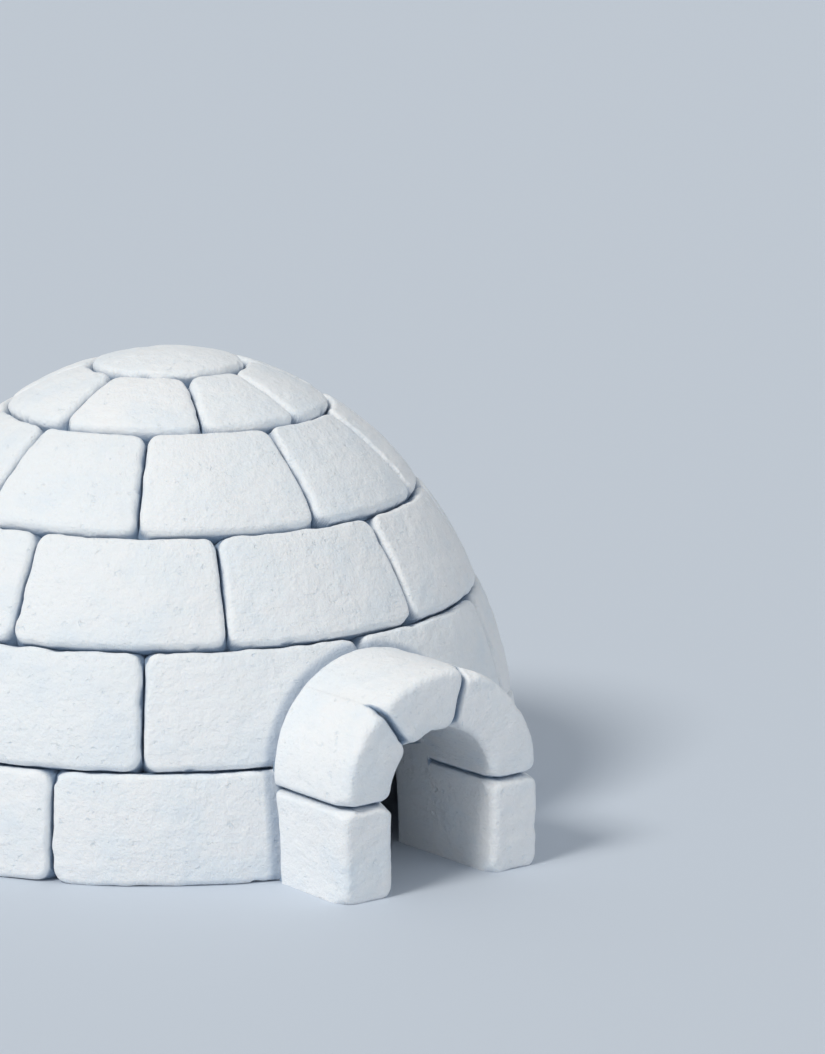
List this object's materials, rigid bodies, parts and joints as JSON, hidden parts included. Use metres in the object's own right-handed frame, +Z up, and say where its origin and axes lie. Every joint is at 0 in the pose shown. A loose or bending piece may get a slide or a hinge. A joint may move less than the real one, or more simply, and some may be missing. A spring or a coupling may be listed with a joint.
{
  "type": "igloo",
  "caption": "Hollow dome of cut snow blocks in leaning courses, with a doorway through the wall and a short arched entrance tunnel.",
  "frame": {"origin": "on the ground, at the middle of the footprint of dome and tunnel together", "axes": "+Z up; -Y out through the doorway, along the tunnel; +X to the right of someone who faces the doorway"},
  "size_m": [2.5996, 2.9137, 1.657],
  "materials": {
    "dome_snow": "matte packed snow, finely grained, with worn edges",
    "tunnel_snow": "matte packed snow, finely grained, with worn edges"
  },
  "bodies": {
    "root": {"course_1_block_1": "dome_snow", "course_1_block_2": "dome_snow", "course_1_block_3": "dome_snow", "course_1_block_4": "dome_snow", "course_1_block_5": "dome_snow", "course_1_block_6": "dome_snow", "course_1_block_7": "dome_snow", "course_1_block_8": "dome_snow", "course_2_block_1": "dome_snow", "course_2_block_2": "dome_snow", "course_2_block_3": "dome_snow", "course_2_block_4": "dome_snow", "course_2_block_5": "dome_snow", "course_2_block_6": "dome_snow", "course_2_block_7": "dome_snow", "course_2_block_8": "dome_snow", "course_2_block_9": "dome_snow", "course_3_block_1": "dome_snow", "course_3_block_2": "dome_snow", "course_3_block_3": "dome_snow", "course_3_block_4": "dome_snow", "course_3_block_5": "dome_snow", "course_3_block_6": "dome_snow", "course_3_block_7": "dome_snow", "course_3_block_8": "dome_snow", "course_3_block_9": "dome_snow", "course_4_block_1": "dome_snow", "course_4_block_2": "dome_snow", "course_4_block_3": "dome_snow", "course_4_block_4": "dome_snow", "course_4_block_5": "dome_snow", "course_4_block_6": "dome_snow", "course_4_block_7": "dome_snow", "course_4_block_8": "dome_snow", "course_4_block_9": "dome_snow", "course_5_block_1": "dome_snow", "course_5_block_2": "dome_snow", "course_5_block_3": "dome_snow", "course_5_block_4": "dome_snow", "course_5_block_5": "dome_snow", "course_5_block_6": "dome_snow", "course_5_block_7": "dome_snow", "cap_block": "dome_snow", "tunnel_base_left": "tunnel_snow", "tunnel_base_right": "tunnel_snow", "tunnel_arch_left": "tunnel_snow", "tunnel_arch_key": "tunnel_snow", "tunnel_arch_right": "tunnel_snow"}
  },
  "joints": []
}
